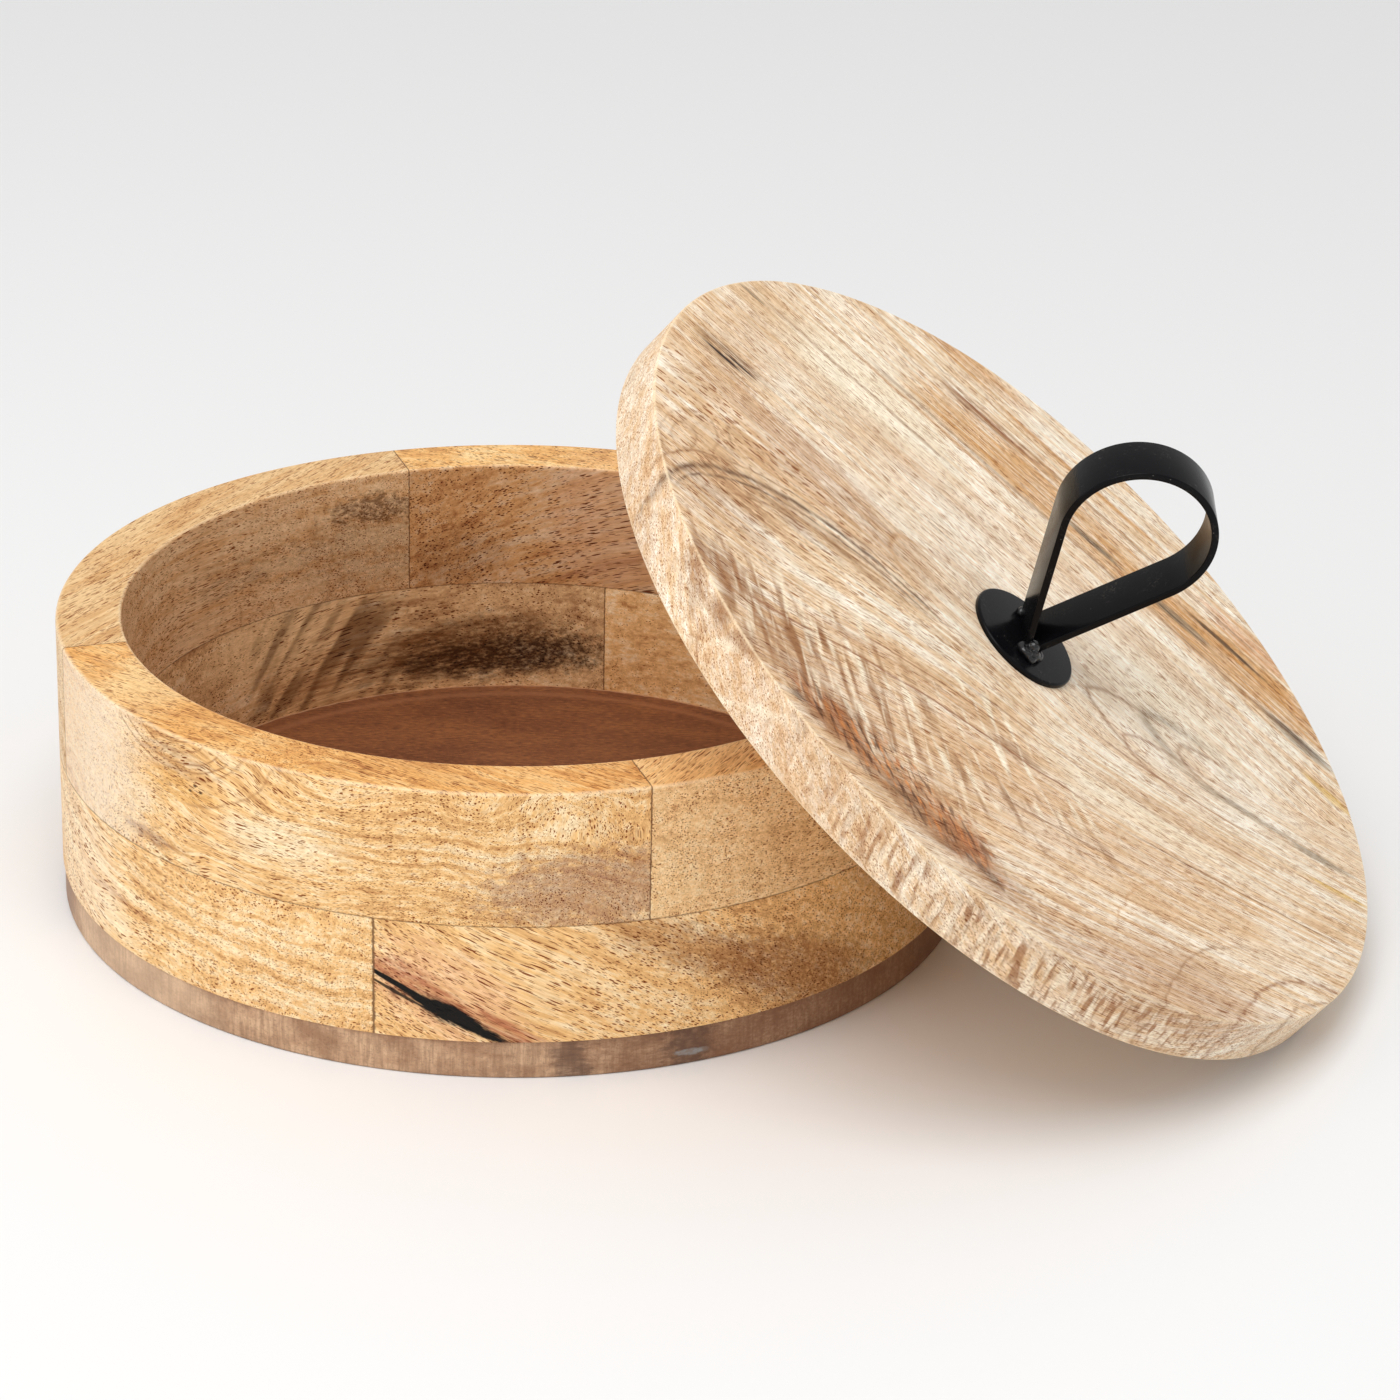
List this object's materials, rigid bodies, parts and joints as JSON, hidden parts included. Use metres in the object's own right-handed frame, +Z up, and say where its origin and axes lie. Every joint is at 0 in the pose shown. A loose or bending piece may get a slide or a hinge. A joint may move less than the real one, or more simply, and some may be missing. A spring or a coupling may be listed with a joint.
{
  "type": "round lidded wooden box",
  "caption": "Round open box of thick glued wooden blocks on a stained base, its flat wooden lid with a black teardrop iron handle taken off and leaning on the rim.",
  "frame": {"origin": "centre of the box's underside, on the surface that it stands on", "axes": "+Z up, out of the open box; +X towards the side on which the lid leans; -Y towards the front, where the handle's loop shows open"},
  "size_m": [0.3587, 0.2942, 0.1732],
  "materials": {
    "stained_board": "fine fibre board edge, stained brown and clear lacquered, satin",
    "wall_wood": "honey coloured open-pored hardwood, clear lacquered, satin",
    "lid_wood": "pale streaked open-pored hardwood, clear lacquered, satin",
    "disc_wood": "plain sanded hardwood, clear lacquered, satin",
    "black_iron": "black powder coat, satin to gloss",
    "black_weld": "weld metal under black powder coat, gloss",
    "zinc_steel": "bright zinc plate"
  },
  "bodies": {
    "box": {"base_board": "stained_board", "lower_block_back_left": "wall_wood", "lower_block_front_left": "wall_wood", "lower_block_front_right": "wall_wood", "lower_block_back_right": "wall_wood", "upper_block_back_left": "wall_wood", "upper_block_front_left": "wall_wood", "upper_block_front_right": "wall_wood", "upper_block_back_right": "wall_wood"},
    "lid": {"lid_board": "lid_wood", "locating_disc": "disc_wood", "handle_plate": "black_iron", "handle_loop": "black_iron", "front_weld": "black_weld", "back_weld": "black_weld", "handle_stud": "zinc_steel", "washer": "zinc_steel", "hex_nut": "zinc_steel"}
  },
  "joints": [
    {"name": "lid_lift", "type": "slide", "parent": "box", "child": "lid", "axis": [0, 0, 1], "range_m": [0, 0.15]}
  ]
}
